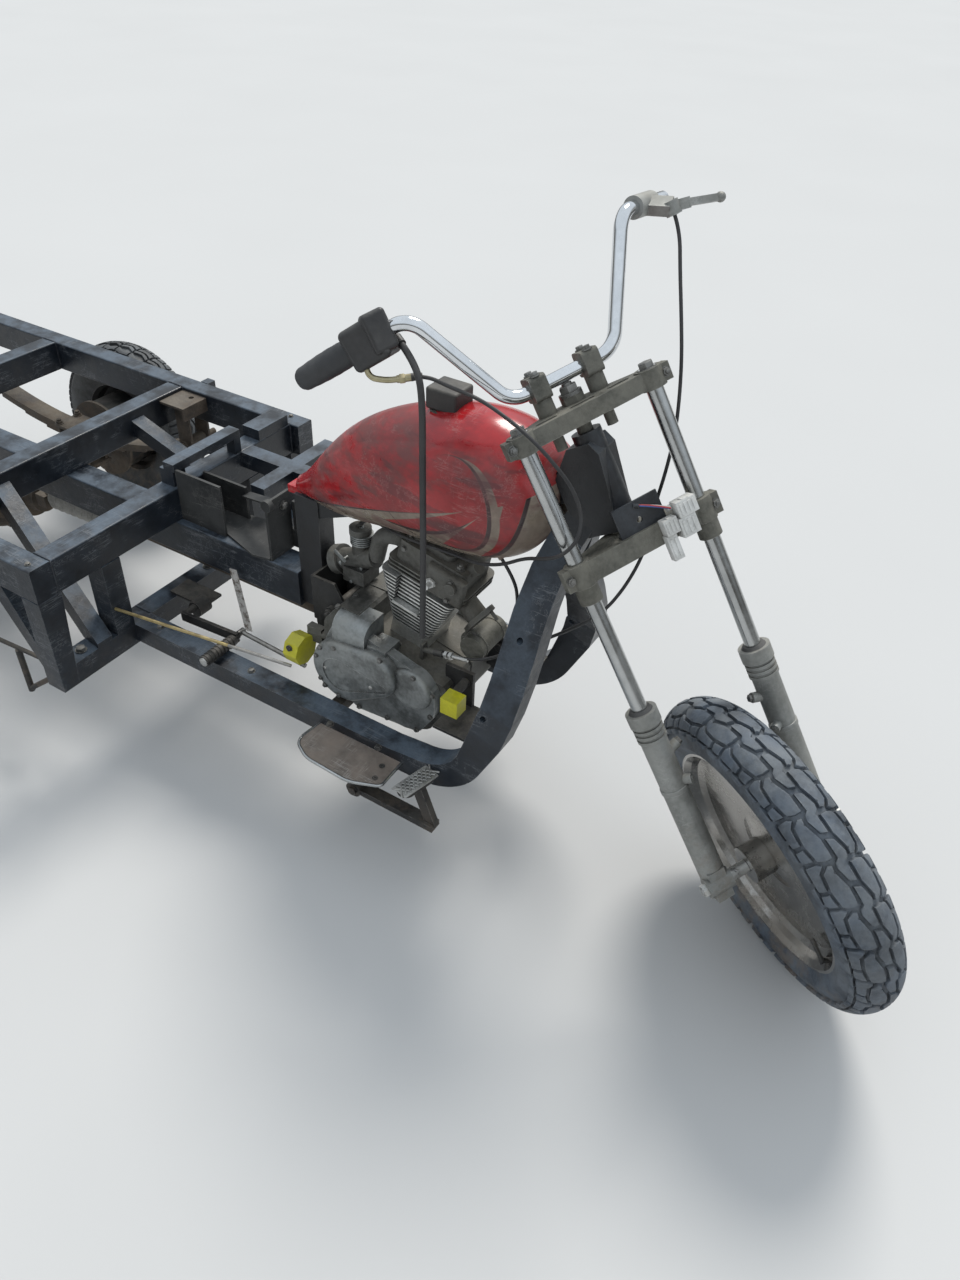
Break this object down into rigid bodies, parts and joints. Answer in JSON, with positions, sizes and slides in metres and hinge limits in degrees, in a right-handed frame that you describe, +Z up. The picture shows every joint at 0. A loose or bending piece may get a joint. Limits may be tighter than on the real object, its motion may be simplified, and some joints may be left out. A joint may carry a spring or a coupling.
{
  "type": "cargo motor tricycle chassis",
  "caption": "Stripped cargo motor tricycle: bare ladder chassis, air-cooled engine, fuel tank, long steering fork with high handlebar, and leaf-sprung rear axle.",
  "frame": {"origin": "on the ground in the middle plane of the ladder frame, under the middle of the whole length, 927 mm in front of the rear axle line", "axes": "+X forward, +Y to the left, +Z up"},
  "size_m": [2.9939, 1.188, 1.2378],
  "materials": {
    "frame_paint": "dusty satin",
    "tank_paint": "scuffed gloss",
    "engine_metal": "dusty cast",
    "fork_metal": "polished",
    "cast_metal": "dull cast",
    "steel": "worn",
    "rusty_steel": "rusty",
    "brass": "dull",
    "black_plastic": "matt",
    "rubber": "matt",
    "tyre": "dusty",
    "yellow_plastic": "matt",
    "white_plastic": "matt",
    "dust_boot": "dusty"
  },
  "bodies": {
    "chassis": {"backbone": "frame_paint", "battery_tray": "frame_paint", "brake_pedal": "steel", "brake_rods": "steel", "carburettor": "cast_metal", "centre_beam": "frame_paint", "clutch_cable": "rubber", "cradle_left": "frame_paint", "cradle_right": "frame_paint", "cross_beams": "frame_paint", "cylinder": "engine_metal", "cylinder_head": "engine_metal", "engine_covers": "engine_metal", "engine_crankcase": "engine_metal", "engine_mounts": "steel", "foot_lever": "steel", "footplates": "steel", "fuel_cap": "black_plastic", "fuel_tank": "tank_paint", "headstock": "frame_paint", "leaf_springs": "rusty_steel", "linkage": "steel", "low_cross": "frame_paint", "pedal_brackets": "frame_paint", "posts": "frame_paint", "prop_boot": "dust_boot", "prop_shaft": "rusty_steel", "rail_left": "frame_paint", "rail_right": "frame_paint", "rear_axle": "rusty_steel", "seat_frame": "frame_paint", "spring_fittings": "rusty_steel", "struts": "frame_paint", "throttle_cable": "rubber", "vent_hose": "rubber", "yellow_caps": "yellow_plastic"},
    "steering": {"clutch_lever": "cast_metal", "fork_sliders": "cast_metal", "fork_tubes": "fork_metal", "front_axle": "steel", "grip_right": "rubber", "handlebar": "fork_metal", "lamp_bracket": "frame_paint", "lower_bridge": "cast_metal", "plug_wires": "rubber", "plugs": "white_plastic", "switch_housing": "black_plastic", "switch_loom": "rubber", "throttle_elbow": "brass", "top_bridge": "cast_metal"},
    "front_wheel": {"front_rim": "fork_metal", "front_tyre": "tyre"},
    "rear_wheel_left": {"rear_rim_left": "steel", "rear_tyre_left": "tyre"},
    "rear_wheel_right": {"rear_rim_right": "steel", "rear_tyre_right": "tyre"}
  },
  "joints": [
    {"name": "steering", "type": "hinge", "parent": "chassis", "child": "steering", "pos_m": [0.81863, 0, 0.87297], "axis": [-0.5274, 0, 0.8496], "range_deg": [-4, 80], "deforming": ["throttle_cable", "clutch_cable"]},
    {"name": "front_wheel", "type": "hinge", "parent": "steering", "child": "front_wheel", "pos_m": [1.2325, -0.0329, 0.28696], "axis": [0.5196, 0.7912, 0.3225], "continuous": true},
    {"name": "rear_wheel_left", "type": "hinge", "parent": "chassis", "child": "rear_wheel_left", "pos_m": [-0.92698, 0.528, 0.24], "axis": [0, 1, 0], "continuous": true},
    {"name": "rear_wheel_right", "type": "hinge", "parent": "chassis", "child": "rear_wheel_right", "pos_m": [-0.92698, -0.528, 0.24], "axis": [0, 1, 0], "continuous": true}
  ]
}
